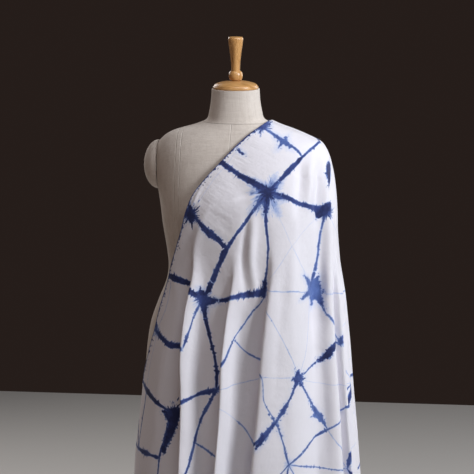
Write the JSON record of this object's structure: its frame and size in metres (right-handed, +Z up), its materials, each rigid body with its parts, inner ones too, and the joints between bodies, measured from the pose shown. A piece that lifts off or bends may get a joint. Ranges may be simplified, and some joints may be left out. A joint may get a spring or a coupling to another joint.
{
  "type": "shibori dyed cloth on a dress form",
  "caption": "Cotton cloth with an indigo resist-dyed lattice, draped over one shoulder of a linen-covered dress form on a round-based stand.",
  "frame": {"origin": "middle of the flat underside of the stand's round base", "axes": "+Z up along the pole, -Y the way the form faces, +X the form's left, the shoulder that carries the cloth"},
  "size_m": [0.5306, 0.3909, 1.5931],
  "materials": {
    "dyed_cotton": "plain woven cotton, white with an indigo lattice left by folding, binding and dyeing",
    "linen": "natural linen weave, tightly stretched and seamed",
    "honey_wood": "turned honey-coloured wood with a satin varnish",
    "dark_metal": "dark satin paint on steel"
  },
  "bodies": {
    "root": {"cloth": "dyed_cotton", "form_body": "linen", "arm_cap_right": "linen", "arm_cap_left": "linen", "neck_cap": "honey_wood", "finial": "honey_wood", "stand_pole": "dark_metal", "stand_base": "dark_metal"}
  },
  "joints": []
}
